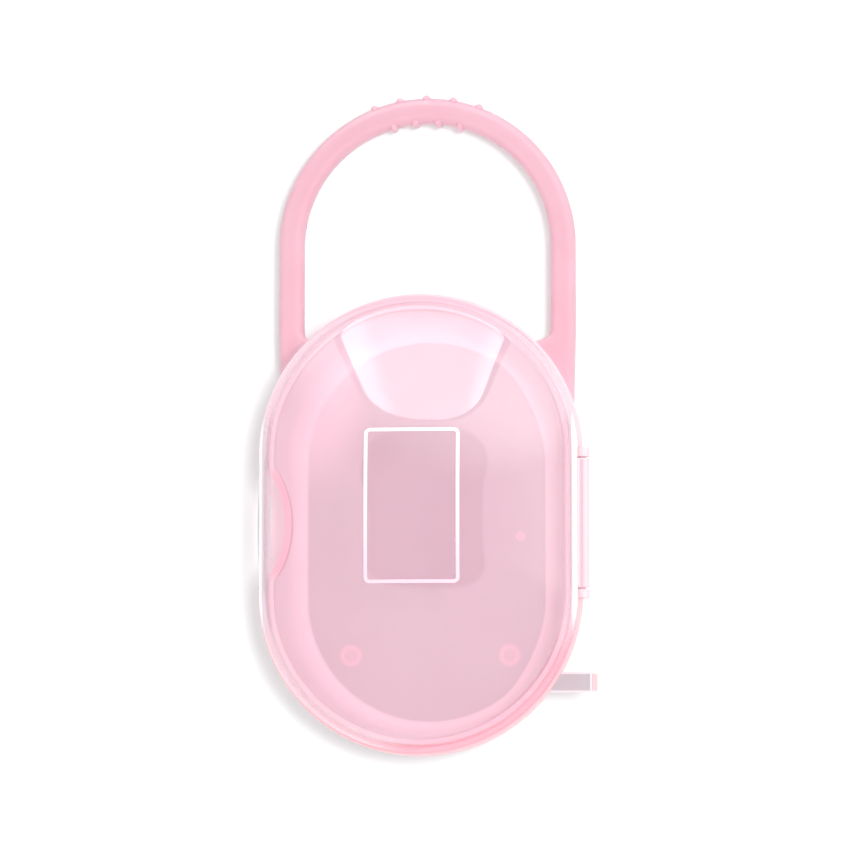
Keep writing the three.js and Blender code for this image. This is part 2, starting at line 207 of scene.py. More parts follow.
class Finishes(PropertyGroup):
    """Colours and gloss of the plastics and the print"""

    bar: colour("Thick plastic", "Pink of the handle's thick bar", (0.81, 0.49, 0.575))
    wall: colour("Wall plastic", "Pink of the tray's thin walls", (1.0, 0.745, 0.81))
    # painted shade: the back is drawn greyer for the shade of the floor under it, seen through the plastic
    floor: colour("Floor plastic", "Greyer pink of the flat back", (0.54, 0.36, 0.41))
    rim: colour("Rim plastic", "Deeper pink of the tray's rim", (1.0, 0.60, 0.64))
    lip: colour("Lip plastic", "Deep pink of the lip along the thumb dish", (0.93, 0.27, 0.38))
    mark: colour("Mould marks", "Pink over the ring feet and the gate", (0.93, 0.46, 0.56))
    # painted shade: the tab's greyness stands for the shaded floor seen through the thin plastic
    tab: colour("Tab plastic", "Greyish pink of the thin tab", (0.59, 0.51, 0.545))
    tint: colour("Lid tint", "What one face of the clear lid lets through", (0.995, 0.95, 0.975))
    milk: colour("Lid milk", "Colour of the clear lid's faint milkiness", (0.995, 0.83, 0.90))
    # painted shade: a deeper pink that darkens the round between the wall and the back
    foot: colour("Wall's foot", "Deeper pink of the round between the wall and the back", (0.90, 0.62, 0.68))
    # painted light: a paler pink on the handle's left root, standing in for light where the tray's shadow
    # falls
    root: colour("Root", "Paler pink of the handle where the tray's light reaches it", (1.0, 0.68, 0.78))
    skirt: colour("Skirt milk", "Paler colour of the lid's thick skirt", (1.0, 0.90, 0.96))
    # painted highlight: near-white milk that stands for the bright band along the lid's long sides
    painted_light_flank: colour("Flank milk", "Palest colour of the skirt's long sides", (1.0, 0.97, 1.0))
    barrel: colour("Barrel milk", "Pinker colour of the lid's hinge barrel", (0.92, 0.60, 0.67))
    ink: colour("Ink", "White of the print", (0.94, 0.95, 0.96))
    # painted highlight: the print goes from white at its upper end to this pink at its thinner lower end
    thin_ink: colour("Thin ink", "Colour of the print where the ink is thin", (0.93, 0.67, 0.76))
    satin: share("Satin", "Roughness of the pink plastic", 0.34)
    gloss: share("Gloss", "Roughness of the clear plastic", 0.03)
    haze: share("Haze", "Milkiness of one face of the lid, seen straight on", 0.26)
    rim_haze: share("Rim haze", "Milkiness of one face of the lid, seen along the face", 0.65)
    skirt_haze: share("Skirt haze", "Milkiness of one face of the lid's skirt", 0.5)
    barrel_haze: share("Barrel haze", "Milkiness of one face of the lid's hinge barrel", 0.55)
    depth: share("Depth of light", "How much light goes into the thick pink plastic", 0.6)
    wall_depth: share("Wall depth of light", "How much light goes into the tray's thin walls", 0.5)
    sheen: share("Tray sheen", "Strength of the tray's highlights", 0.12)


class StudioLight(PropertyGroup):
    """The studio's light and floor"""

    room: number("Room", "Strength of the white room", 0.90)
    softbox: number("Softbox", "Strength of the panel that the lid mirrors", 3.4)
    key: number("Key", "Power of the soft lamp over the box, in watts", 6.5)
    floor: colour("Floor", "Colour of the floor", (0.90, 0.94, 0.93))


class BoxSettings(PropertyGroup):
    """All the sizes and finishes of the pacifier box"""

    tray: PointerProperty(type=TraySizes)
    handle: PointerProperty(type=HandleSizes)
    lid: PointerProperty(type=LidSizes)
    label: PointerProperty(type=PrintSizes)
    finish: PointerProperty(type=Finishes)
    studio: PointerProperty(type=StudioLight)


def settings():
    return bpy.context.scene.pacifier_box


# Nodes

NODE_SPACE = (220, 280)


def feed(node, **inputs):
    """Gives a node's sockets their values or links. A name may hold a socket's number, as in_0."""
    for name, value in inputs.items():
        socket = node.inputs[int(name[3:]) if name.startswith("in_") else name.replace("_", " ")]
        if isinstance(value, bpy.types.NodeSocket):
            node.id_data.links.new(value, socket)
        else:
            socket.default_value = value
    return node


def add_node(tree, kind, options=None, **inputs):
    """A shader node of a kind, with its options and what goes into its sockets"""
    node = tree.nodes.new("ShaderNode" + kind)
    for name, value in (options or {}).items():
        setattr(node, name, value)
    return feed(node, **inputs)


def maths(operation, *values):
    """What a sum gives, of values that are sockets or numbers, with one socket at least"""
    tree = next(v.id_data for v in values if isinstance(v, bpy.types.NodeSocket))
    inputs = {f"in_{i}": value for i, value in enumerate(values)}
    return add_node(tree, "Math", {"operation": operation}, **inputs).outputs[0]


def product(*values):
    return reduce(lambda first, second: maths("MULTIPLY", first, second), values)


def highest(*values):
    return reduce(lambda first, second: maths("MAXIMUM", first, second), values)


def rise(value, span, past=0.0, least=0.0, most=1.0):
    """A soft step up from least to most, over a span that is counted from a place"""
    limits = {"From_Min": past + span[0], "From_Max": past + span[1], "To_Min": least, "To_Max": most}
    node = add_node(value.id_data, "MapRange", {"interpolation_type": "SMOOTHSTEP"}, Value=value, **limits)
    return node.outputs["Result"]


def fall(value, span, past=0.0, least=0.0, most=1.0):
    """A soft step down from most to least"""
    return rise(value, span, past, most, least)


def blend(mask, first, second):
    """A colour that turns into another where a mask says"""
    first, second = (c if isinstance(c, bpy.types.NodeSocket) else (*c, 1.0) for c in (first, second))
    return add_node(mask.id_data, "Mix", {"data_type": "RGBA"}, in_0=mask, in_6=first, in_7=second).outputs[2]


def distance(x, y, place=(0.0, 0.0)):
    """How far a point is from a place, seen along Z"""
    here = add_node(x.id_data, "CombineXYZ", X=x, Y=y).outputs[0]
    apart = add_node(x.id_data, "VectorMath", {"operation": "DISTANCE"}, in_0=here, in_1=(*place, 0.0))
    return apart.outputs["Value"]


def coordinates(tree):
    """A point on the piece, whole and as X, Y and Z"""
    position = add_node(tree, "TexCoord").outputs["Object"]
    return position, *add_node(tree, "SeparateXYZ", Vector=position).outputs


def noise(position, scale, detail):
    return add_node(position.id_data, "TexNoise", Vector=position, Scale=scale, Detail=detail).outputs["Fac"]


def bump(height, strength, depth):
    node = add_node(height.id_data, "Bump", Strength=strength, Distance=depth, Height=height)
    return node.outputs["Normal"]


def lay_out(tree):
    """Sets the nodes in columns, each to the left of all that it feeds"""
    column = {node.name: 0 for node in tree.nodes}
    moved = True
    while moved:
        moved = False
        for link in tree.links:
            place = column[link.to_node.name] + 1
            if column[link.from_node.name] < place:
                column[link.from_node.name] = place
                moved = True
    filled = dict.fromkeys(column.values(), 0)
    for node in tree.nodes:
        place = column[node.name]
        node.location = (-NODE_SPACE[0] * place, -NODE_SPACE[1] * filled[place])
        filled[place] += 1


# Plastics and ink. A span is where a colour or finish changes, in metres from the edge that it follows.

CLOUDS = (0.35, 0.65)
PINK_SHARES = (0.985, 0.955, 0.965)
GREY_SHARES = (0.98, 0.965, 0.97)
MILK_SHARES = (0.99, 0.96, 0.975)
EDGES = (0.52, 0.62)
# paler colour of edges: wear and a painted highlight
EDGE_WEAR_AND_HIGHLIGHT = (1.0, 0.78, 0.85)
TAB_EDGE_HIGHLIGHT = (0.97, 0.80, 0.86)
THICK_GRAIN = 0.000006
FINE_GRAIN = 0.000002


def start_material(name):
    """A new material with its shader and its output"""
    material = bpy.data.materials.new(name)
    material.use_nodes = True
    nodes = material.node_tree.nodes
    return material, nodes["Principled BSDF"], nodes["Material Output"]


def finished(material):
    lay_out(material.node_tree)
    return material


def clouds(position, scale):
    """A mask of soft patches"""
    return rise(noise(position, scale, detail=3.0), CLOUDS)


def drift(cloud, base, shares):
    """A colour that drifts towards shares of itself"""
    return blend(cloud, base, [part * share for part, share in zip(base, shares)])


def mould_surface(shader, position, satin, grain):
    """Uneven satin gloss and the fine grain of a moulded surface"""
    patches = noise(position, scale=140.0, detail=3.0)
    fine = noise(position, scale=1500.0, detail=2.0)
    slow = noise(position, scale=90.0, detail=1.0)
    height = maths("MULTIPLY_ADD", slow, 6.0, fine)
    roughness = rise(patches, (0.3, 0.7), least=satin - 0.05, most=satin + 0.06)
    feed(shader, Roughness=roughness, Normal=bump(height, 1.0, grain))


def worn_and_lit_edges(base, amount):
    """Paler edges, partly wear and partly a painted highlight where the edges catch more light than the faces
    beside them
    """
    pointiness = add_node(base.id_data, "NewGeometry").outputs["Pointiness"]
    return blend(rise(pointiness, EDGES, most=amount), base, EDGE_WEAR_AND_HIGHLIGHT)


def let_light_in(shader, amount):
    """Light that goes a little way into milky plastic"""
    reach = (1.0, 0.75, 0.8)
    feed(shader, Subsurface_Weight=amount, Subsurface_Radius=reach, Subsurface_Scale=0.0018, IOR=1.49)


def from_spine(x, along):
    """Distance from the line between the centres of the box's two ends, given how far along it a point is"""
    return distance(x, highest(maths("SUBTRACT", along, settings().tray.straight / 2), 0.0))


ROOT_LIGHT_REACH = (0.0016, 0.0052)
ROOT_LIGHT_LEFT = (-0.02, -0.01)


def bar_plastic():
    """Milky pink plastic of the handle, the ring feet and the hinge pin, with painted light at the handle's
    left root that lifts the shadow the tray casts there
    """
    finish, tray = settings().finish, settings().tray
    material, shader, _ = start_material("pink_bar_plastic")
    position, x, y, _ = coordinates(shader.id_data)
    base = drift(clouds(position, 70.0), finish.bar, PINK_SHARES)
    from_end = distance(x, maths("SUBTRACT", y, tray.straight / 2))
    # painted light: paler pink near the handle's left root, lifting the shadow that the tray casts there
    root = product(fall(from_end, ROOT_LIGHT_REACH, past=tray.radius, most=0.9), fall(x, ROOT_LIGHT_LEFT))
    feed(shader, Base_Color=worn_and_lit_edges(blend(root, base, finish.root), 0.35))
    mould_surface(shader, position, finish.satin, THICK_GRAIN)
    let_light_in(shader, finish.depth)
    return finished(material)


RIGHT_OF_FLOOR = (0.016, 0.026)
FLOOR_OUTSET = 0.0016
FLOOR_EDGE = (-0.0006, 0.0008)
FLOOR_TOP = (0.003, 0.006)
PAINTED_LIGHT_UPPER = (0.004, 0.026)
PAINTED_LIGHT_LEFT = (-0.024, -0.012)
FOOT_START = (-0.0004, 0.0002)
FOOT_END = (0.0016, 0.0032)
FOOT_TOP = (0.006, 0.010)
FOOT_RIGHT = (-0.02, 0.02)
RING_EDGE = (0.0001, 0.0012)
UPPER_RINGS = (-0.01, 0.01)
GATE_SHIFT = (0.0005, -0.0006)
GATE_SHARES = (0.9, 1.6)
MARK_STRENGTH = 0.62
BAND_FOOT = (0.0, 0.001)
SHELF_EDGE = (-0.0033, -0.0030)
BY_HANDLE = (0.0, 0.035)
RIM_TOP = (-0.0002, 0.0008)
EAR_SIDE = (0.0009, 0.0012)
DISH_END = (-0.004, 0.0)
DISH_FOOT = (0.0, 0.003)
DISH_SIDE = (-0.0310, -0.0300)
LIP_SIDE = (-0.020, -0.010)
HINGE_SIDE = (-0.001, 0.0)


def back_marks(x, y):
    """Where the ring feet and the mould's gate show in the back. The upper feet show less."""
    tray = settings().tray
    from_foot = distance(maths("ABSOLUTE", x), maths("ABSOLUTE", y), (tray.foot_x, tray.foot_y))
    middle = (tray.foot_radius + tray.foot_bore) / 2
    ring = fall(maths("ABSOLUTE", maths("SUBTRACT", from_foot, middle)), RING_EDGE)
    inside = fall(from_foot, (middle, tray.foot_radius), most=0.55)
    rings = product(highest(ring, inside), fall(y, UPPER_RINGS, least=0.15))
    from_gate = distance(x, y, (tray.gate_x + GATE_SHIFT[0], tray.gate_y + GATE_SHIFT[1]))
    return highest(rings, fall(from_gate, [tray.gate_radius * share for share in GATE_SHARES]))


def rim_marks(x, y, z, out):
    """Where the rim and the thumb dish are deeper pink, and where the lip along the dish is"""
    tray = settings().tray
    along_dish = fall(maths("ABSOLUTE", y), DISH_END, past=tray.dish_length / 2)
    band = product(
        rise(z, BAND_FOOT, past=tray.depth - tray.band_height),
        rise(out, SHELF_EDGE, past=tray.radius),
        fall(y, BY_HANDLE, least=0.4),
    )
    top = rise(z, RIM_TOP, past=tray.depth)
    band = product(highest(band, top), fall(x, EAR_SIDE, past=tray.radius, least=0.2))
    dish = product(along_dish, fall(x, DISH_SIDE))
    dish = product(rise(z, DISH_FOOT, past=tray.depth - tray.dish_reach), dish)
    return highest(band, dish), product(top, along_dish, fall(x, LIP_SIDE))


def tray_plastic():
    """Milky pink plastic of the tray: pale walls, a back painted greyer for shade, painted shade at the
    wall's foot, painted light on the upper left of the back, and the marks of what is moulded there
    """
    finish, tray = settings().finish, settings().tray
    material, shader, _ = start_material("pink_tray_plastic")
    position, x, y, z = coordinates(shader.id_data)
    out = from_spine(x, maths("ABSOLUTE", y))
    reach = maths("ADD", out, rise(x, RIGHT_OF_FLOOR, most=FLOOR_OUTSET))
    back = tray.radius - tray.back_inset
    low = product(fall(z, FLOOR_TOP, past=tray.wall), fall(reach, FLOOR_EDGE, past=back))
    # painted light: the back keeps the paler wall colour towards its upper left
    painted_light_upper_left = product(rise(y, PAINTED_LIGHT_UPPER, most=0.6), fall(x, PAINTED_LIGHT_LEFT))
    # painted shade in the round between the wall and the back, stronger on the right
    foot = product(
        rise(reach, FOOT_START, past=back),
        fall(out, FOOT_END, past=back),
        fall(z, FOOT_TOP, past=tray.wall),
        rise(x, FOOT_RIGHT, least=0.55),
    )
    marks = product(back_marks(x, y), low, MARK_STRENGTH)
    rim, lip = rim_marks(x, y, z, out)
    cloud = clouds(position, 60.0)
    base = drift(cloud, finish.wall, PINK_SHARES)
    # painted shade: the back's greyer pink
    floor = drift(cloud, finish.floor, GREY_SHARES)
    base = blend(product(low, maths("SUBTRACT", 1.0, painted_light_upper_left)), base, floor)
    for mask, deeper in ((foot, finish.foot), (marks, finish.mark), (rim, finish.rim), (lip, finish.lip)):
        base = blend(mask, base, deeper)
    mould_surface(shader, position, finish.satin, FINE_GRAIN)
    let_light_in(shader, finish.wall_depth)
    depth = fall(x, HINGE_SIDE, past=tray.radius, least=0.1, most=finish.wall_depth)
    feed(shader, Base_Color=worn_and_lit_edges(base, 0.3), Specular_IOR_Level=finish.sheen, Subsurface_Weight=depth)
    return finished(material)


TAB_SIDE = (-0.0006, -0.0002)
TAB_FOLD = 0.0014
TAB_END = (0.0002, 0.0005)
FOLD_LINE = (0.0001, 0.0003)


def tab_plastic():
    """Thin pink plastic of the tab, painted greyer for the shaded floor seen through it, with a painted
    highlight on its edges and on the line where its end turns down
    """
    finish, tray = settings().finish, settings().tray
    material, shader, _ = start_material("pink_tab_plastic")
    position, x, y, _ = coordinates(shader.id_data)
    off_middle = maths("ABSOLUTE", maths("ADD", y, tray.straight / 2 + tray.tab_drop))
    tip = tray.radius + tray.band_outset + tray.tab_outset
    past_fold = maths("SUBTRACT", x, tip - TAB_FOLD)
    # painted shade: the tab's grey pink stands for the shaded floor under it
    base = drift(clouds(position, 300.0), finish.tab, (0.95, 0.95, 0.95))
    base = blend(rise(past_fold, TAB_END), base, finish.rim)
    # painted highlight: the tab's sides and the line at its end are drawn paler
    side = rise(off_middle, TAB_SIDE, past=tray.tab_width / 2)
    fold_highlight = fall(maths("ABSOLUTE", past_fold), FOLD_LINE)
    feed(shader, Base_Color=blend(highest(side, fold_highlight), base, TAB_EDGE_HIGHLIGHT))
    mould_surface(shader, position, finish.satin, THICK_GRAIN)
    return finished(material)


SKIRT_TOP = (-0.0010, 0.0012)
SKIRT_SIDE = (0.038, 0.050)
SOLE = (0.0001, 0.0004)
RIGHT_SHARES = (0.7, 0.85)
FLANK_EDGE = (-0.0015, -0.0011)
FLANK_SIDE = (0.026, 0.036)
FLANK_TOP = (0.0035, 0.0055)
BARREL_SIDE = (0.0, 0.0001)
RIPPLE_FOOT = (0.005, 0.011)
LOWER_RIGHT = Vector((0.53, -0.85))
CLEAR_CORNER = (0.034, 0.043)
CLEAR_EDGE = (-0.0035, -0.0018)
CLEAR_TOP = (0.043, 0.051)
THUMB_SIDE = (0.001, 0.003)
THUMB_END = (0.0, 0.003)


def thick_parts(x, along, z):
    """Masks of the lid's low and thick parts: all of its skirt, its long flanks and its hinge barrel. The
    flanks and the right side of the sole are made thick and near-white, a painted highlight for the bright
    band along the lid's sides.
    """
    tray, lid = settings().tray, settings().lid
    sole = tray.depth + lid.gap
    low = fall(z, SKIRT_TOP, past=sole + lid.skirt)
    painted_light_sole = product(fall(z, SOLE, past=sole), rise(x, [tray.radius * share for share in RIGHT_SHARES]))
    painted_light_flank = product(
        rise(maths("ABSOLUTE", x), FLANK_EDGE, past=tray.radius),
        fall(along, FLANK_SIDE, least=0.3),
        fall(z, FLANK_TOP, past=sole + lid.skirt),
    )
    skirt = product(low, fall(along, SKIRT_SIDE, least=0.15))
    thick = highest(skirt, product(highest(painted_light_sole, painted_light_flank), 2.0))
    return low, thick, painted_light_flank, rise(x, BARREL_SIDE, past=tray.radius)


def lid_cover(tree, x, y, along, low, thick, barrel):
    """How much of the light the lid's milk stops. It is clearer towards the upper end and the lower right
    corner, and lamps shine through all but the finger edge and the sides that they graze.
    """
    finish, tray, lid = settings().finish, settings().tray, settings().lid
    facing = add_node(tree, "LayerWeight", Blend=0.5).outputs["Facing"]
    haze = rise(facing, (0.25, 1.0), least=finish.haze, most=finish.rim_haze)
    haze = highest(haze, product(thick, finish.skirt_haze), product(barrel, finish.barrel_haze))
    corner = maths("MULTIPLY_ADD", x, LOWER_RIGHT.x, product(y, LOWER_RIGHT.y))
    edge = rise(from_spine(x, along), CLEAR_EDGE, past=tray.radius)
    corner = maths("MULTIPLY_ADD", product(edge, rise(corner, CLEAR_CORNER)), -0.85, 1.0)
    haze = product(haze, maths("MINIMUM", corner, fall(y, CLEAR_TOP, least=0.6)))
    lamp = add_node(tree, "LightPath").outputs["Is Shadow Ray"]
    by_dish = fall(x, THUMB_SIDE, past=-tray.radius, most=0.9)
    by_thumb = product(by_dish, fall(along, THUMB_END, past=lid.finger_length / 2), low)
    shaded = highest(by_thumb, rise(facing, (0.6, 1.0), most=0.6))
    return maths("MULTIPLY_ADD", shaded, lamp, product(haze, maths("SUBTRACT", 1.0, lamp)))


def clear_plastic():
    """Clear glossy plastic, faintly milky and more so where it is seen along its face"""
    finish, tray, lid = settings().finish, settings().tray, settings().lid
    material, shader, output = start_material("clear_lid_plastic")
    tree = shader.id_data
    position, x, y, z = coordinates(tree)
    along = maths("ABSOLUTE", y)
    low, thick, painted_light_flank, barrel = thick_parts(x, along, z)
    milk = drift(clouds(position, 55.0), finish.milk, MILK_SHARES)
    # painted highlight on the flanks: near-white milk
    for mask, other in ((thick, finish.skirt), (painted_light_flank, finish.painted_light_flank), (barrel, finish.barrel)):
        milk = blend(mask, milk, other)
    rubbed = noise(position, scale=45.0, detail=4.0)
    dome = rise(z, RIPPLE_FOOT, past=tray.depth + lid.gap + lid.skirt)
    ripple = product(noise(position, scale=60.0, detail=1.0), dome)
    feed(
        shader,
        Base_Color=milk,
        IOR=2.2,
        Coat_Weight=1.0,
        Coat_Roughness=finish.gloss,
        Coat_IOR=1.8,
        Roughness=rise(rubbed, (0.45, 0.75), least=finish.gloss, most=finish.gloss + 0.04),
        Normal=bump(ripple, 0.1, 0.00002),
    )
    clear = add_node(tree, "BsdfTransparent", Color=(*finish.tint, 1.0)).outputs["BSDF"]
    cover = lid_cover(tree, x, y, along, low, thick, barrel)
    mix = add_node(tree, "MixShader", Fac=cover, in_1=clear, in_2=shader.outputs["BSDF"])
    feed(output, Surface=mix.outputs["Shader"])
    return finished(material)


INK_HIGHLIGHT_FADE = (-0.020, 0.018)


def white_ink():
    """White screen print, a little uneven in its gloss and cover, thinner and pinker at its lower end and
    whiter at its upper end as a painted highlight
    """
    finish = settings().finish
    material, shader, _ = start_material("white_screen_print")
    position, _, y, _ = coordinates(shader.id_data)
    cover = noise(position, scale=900.0, detail=3.0)
    base = drift(rise(cover, (0.5, 0.8)), finish.ink, (0.93, 0.93, 0.93))
    base = blend(fall(y, INK_HIGHLIGHT_FADE), base, finish.thin_ink)
    roughness = rise(cover, (0.3, 0.7), least=0.4, most=0.55)
    feed(shader, Base_Color=base, Roughness=roughness, Normal=bump(cover, 0.3, 0.00001))
    return finished(material)


# Shapes

TINY = 1e-7
ROD_SIDES = 48
OUTLINE_CUTS = 60
WALL_CURVE_SHARES = ((0.62, 0.0), (0.8, 0.16))
DISH_LIMIT_X = -0.02
DISH_BLEND = 0.0006
BACK_MARGIN = 0.001
BAND_MIDDLE = 0.0012
TAB_CORNER = 0.0008
TAB_TIP_EDGE = 0.0010
TAB_EDGE = 0.00035
FOOT_EDGE = 0.00015
LEG_SHARES = (0.75, 0.5, 0.25)
WEB_SHARES = (0.9, 0.15)
SHARP = math.radians(60)


def new_object(name, bm):
    mesh = bpy.data.meshes.new(name)
    bm.to_mesh(mesh)
    bm.free()
    piece = bpy.data.objects.new(name, mesh)
    bpy.context.scene.collection.objects.link(piece)
    return piece


def combine(piece, operation, bm):
    """Joins or cuts a piece with another mesh"""
    tool = new_object("tool", bm)
    change = piece.modifiers.new("combine", "BOOLEAN")
    change.operation = operation
    change.solver = "EXACT"
    change.object = tool
    bpy.context.view_layer.update()
    made = bpy.data.meshes.new_from_object(piece.evaluated_get(bpy.context.evaluated_depsgraph_get()))
    piece.modifiers.clear()
    old, piece.data = piece.data, made
    made.name = piece.name
    bpy.data.meshes.remove(old)
    bpy.data.objects.remove(tool)
    if not made.polygons:
        raise RuntimeError(f"{piece.name}: nothing is left after a {operation.lower()}")


def dress(piece, material):
    piece.data.materials.clear()
    piece.data.materials.append(material)


def finish_piece(piece, sharp, material, body, slot, *nodes):
    """Smooths and dresses a piece, hangs it on the body that it rides on, and hides the nodes that it stands
    for
    """
    piece.data.shade_smooth()
    piece.data.set_sharp_from_angle(angle=math.radians(sharp))
    dress(piece, material)
    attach(piece, body)
    if nodes:
        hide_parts(*nodes)


def round_off(bm, geom, offset, segments, affect="EDGES"):
    """Rounds edges, or the corners of a line or a flat plate"""
    bmesh.ops.bevel(
        bm, geom=geom, offset=offset, offset_type="OFFSET", affect=affect,
        segments=segments, profile=0.5, material=-1,
    )


def turn(bm, geom, centre, angle, steps, closed):
    """Turns a line about an upright axis"""
    bmesh.ops.spin(
        bm, geom=geom, cent=centre, axis=(0, 0, 1), dvec=(0, 0, 0), angle=angle, steps=steps,
        use_merge=closed, use_duplicate=False,
    )


def stand_up(bm, verts):
    """Tips a flat shape up, so that its Y is along Z"""
    bmesh.ops.rotate(bm, verts=verts, cent=(0, 0, 0), matrix=Matrix.Rotation(math.pi / 2, 3, "X"))


def move(bm, verts, way):
    bmesh.ops.translate(bm, verts=verts, vec=way)


def face_out(bm):
    bmesh.ops.recalc_face_normals(bm, faces=bm.faces[:])


def add_plate(bm, width, long, place=(0, 0, 0)):
    """A flat plate across Z. Gives its corners."""
    corners = bmesh.ops.create_grid(bm, x_segments=1, y_segments=1, size=0.5)["verts"]
    bmesh.ops.scale(bm, vec=(width, long, 1), verts=corners)
    move(bm, corners, place)
    return corners


def thicken(bm, height):
    """Raises a flat plate into a closed one"""
    raised = bmesh.ops.extrude_face_region(bm, geom=bm.faces[:], use_keep_orig=True)["geom"]
    move(bm, [g for g in raised if isinstance(g, bmesh.types.BMVert)], (0, 0, height))
    face_out(bm)


def sharp_edges(bm):
    return [e for e in bm.edges if e.is_manifold and e.calc_face_angle() > SHARP]


def both_sides(low, high):
    """The same span of Y on either side of the middle"""
    return (-high, -low), (low, high)


def hinge_rods(radius, *spans, edge=0.0):
    """Round rods on the hinge's axis, each over a span of Y, with softened ends where an edge is given"""
    bm = bmesh.new()
    for start, end in spans:
        made = bmesh.ops.create_cone(
            bm, cap_ends=True, segments=ROD_SIDES, radius1=radius, radius2=radius, depth=end - start
        )["verts"]
        stand_up(bm, made)
        move(bm, made, (HINGE_X, (start + end) / 2, HINGE_Z))
        if edge:
            ends = {e for v in made for e in v.link_edges if abs(e.verts[0].co.y - e.verts[1].co.y) < TINY}
            round_off(bm, list(ends), edge, 3)
    return bm


def add_profile(bm, stations):
    """A line of points, each with a radius and a height. A third value is its corner's rounding, and a fourth
    the share of the straight that it follows, which is otherwise all of it.
    """
    straight = bm.verts.layers.float.new("straight")
    stations = [(*station, *(0.0, 1.0)[len(station) - 2:]) for station in stations]
    points = []
    for radius, height, _, follow in stations:
        point = bm.verts.new((radius, 0.0, height))
        point[straight] = follow
        points.append(point)
    for first, second in zip(points, points[1:]):
        bm.edges.new((first, second))
    for point, (_, _, corner, _) in zip(points, stations):
        if corner:
            round_off(bm, [point], corner, 4, "VERTICES")


def turn_oval(bm, cuts):
    """Turns the profile about Z, draws the two halves apart along Y, and divides the straight sides"""
    tray = settings().tray
    straight = bm.verts.layers.float["straight"]
    bmesh.ops.rotate(
        bm, verts=bm.verts[:], cent=(0, 0, 0), matrix=Matrix.Rotation(math.pi / tray.steps, 3, "Z")
    )
    turn(bm, bm.verts[:] + bm.edges[:], (0, 0, 0), 2 * math.pi, tray.steps, True)
    bmesh.ops.remove_doubles(bm, verts=bm.verts[:], dist=TINY)
    for v in bm.verts:
        if abs(v.co.y) > 1e-9:
            v.co.y += math.copysign(tray.straight / 2 * v[straight], v.co.y)
    long_edges = [e for e in bm.edges if e.verts[0].co.y * e.verts[1].co.y < 0]
    bmesh.ops.subdivide_edges(bm, edges=long_edges, cuts=cuts, use_grid_fill=True)
    face_out(bm)


def wall_line(inset, points=22):
    """The tray's wall from the back up to the band, moved in square to itself"""
    tray = settings().tray
    back = tray.radius - tray.back_inset
    side = tray.radius + tray.band_outset - tray.band_depth
    foot = tray.depth - tray.band_height
    pulls = [Vector((back + out * (side - back), up * foot)) for out, up in WALL_CURVE_SHARES]
    line = interpolate_bezier(Vector((back, 0.0)), *pulls, Vector((side, foot)), points)
    moved = []
    for i, here in enumerate(line):
        along = (line[min(i + 1, points - 1)] - line[max(i - 1, 0)]).normalized()
        moved.append(Vector((here[0] - along[1] * inset, here[1] + along[0] * inset)))
    moved[0] = Vector((back, inset))
    return moved


def wall_radius_at(height, inset):
    """Half the width of the tray's wall at a height"""
    line = wall_line(inset)
    for low, high in zip(line, line[1:]):
        if low[1] <= height <= high[1]:
            return low[0] + (high[0] - low[0]) * (height - low[1]) / (high[1] - low[1])
    return line[-1][0]


def press_dish(bm):
    """Presses the thumb dish into the rim and the wall below it, the wall keeping its thickness"""
    tray = settings().tray
    deep = tray.dish_outset + tray.dish_depth
    long = tray.dish_length / 2 / math.sqrt(1 - (tray.dish_outset / deep) ** 2)
    lip_middle = tray.radius - settings().lid.wall - tray.lip_gap - tray.lip_wall / 2
    for v in bm.verts:
        if v.co.x > DISH_LIMIT_X:
            continue
        below = v.co.z < tray.depth - tray.band_height
        middle = wall_radius_at(v.co.z, tray.wall / 2) if below else lip_middle
        grow = 0.0 if -v.co.x > middle else tray.wall
        across = (v.co.y / (long + grow)) ** 2 + ((v.co.z - tray.depth) / (tray.dish_reach + grow)) ** 2
        if across >= 1:
            continue
        dish = -(tray.radius + tray.dish_outset) + (deep + grow) * math.sqrt(1 - across)
        mix = min(1.0, max(0.0, 0.5 + 0.5 * (dish - v.co.x) / DISH_BLEND))
        v.co.x = v.co.x * (1 - mix) + dish * mix + DISH_BLEND * mix * (1 - mix)


def tray_shell_mesh():
    tray, lid = settings().tray, settings().lid
    rim = tray.radius + tray.band_outset
    foot = tray.depth - tray.band_height
    lip = tray.radius - lid.wall - tray.lip_gap
    lip_in = lip - tray.lip_wall
    top = tray.depth + tray.lip_height
    bead = tray.depth + tray.bead_rise
    flat = tray.radius - tray.back_inset - BACK_MARGIN
    stations = [(0.0, 0.0), (flat, 0.0)]
    stations += wall_line(0.0)
    stations += [
        (rim, foot + tray.band_depth, tray.edge),
        (rim, tray.depth - BAND_MIDDLE),
        (rim, tray.depth, tray.edge),
        (lip, tray.depth),
        (lip, bead),
        (lip + tray.bead_depth, bead + tray.bead_height / 2),
        (lip, bead + tray.bead_height),
        (lip, top, tray.edge * 0.8),
        (lip_in, top, tray.edge * 0.8),
        (lip_in, tray.depth - tray.edge),
    ]
    stations += reversed(wall_line(tray.wall))
    stations += [(flat, tray.wall), (0.0, tray.wall)]
    bm = bmesh.new()
    add_profile(bm, stations)
    turn_oval(bm, OUTLINE_CUTS)
    press_dish(bm)
    bmesh.ops.remove_doubles(bm, verts=bm.verts[:], dist=20 * TINY)
    bmesh.ops.dissolve_degenerate(bm, edges=bm.edges[:], dist=TINY)
    return bm


def gate_mesh():
    """The recess that the mould's gate leaves in the back"""
    tray = settings().tray
    bm = bmesh.new()
    bmesh.ops.create_cone(
        bm, cap_ends=True, segments=32, radius1=tray.gate_radius, radius2=tray.gate_radius * 0.8,
        depth=2 * tray.gate_depth,
    )
    move(bm, bm.verts[:], (tray.gate_x, tray.gate_y, 0))
    return bm


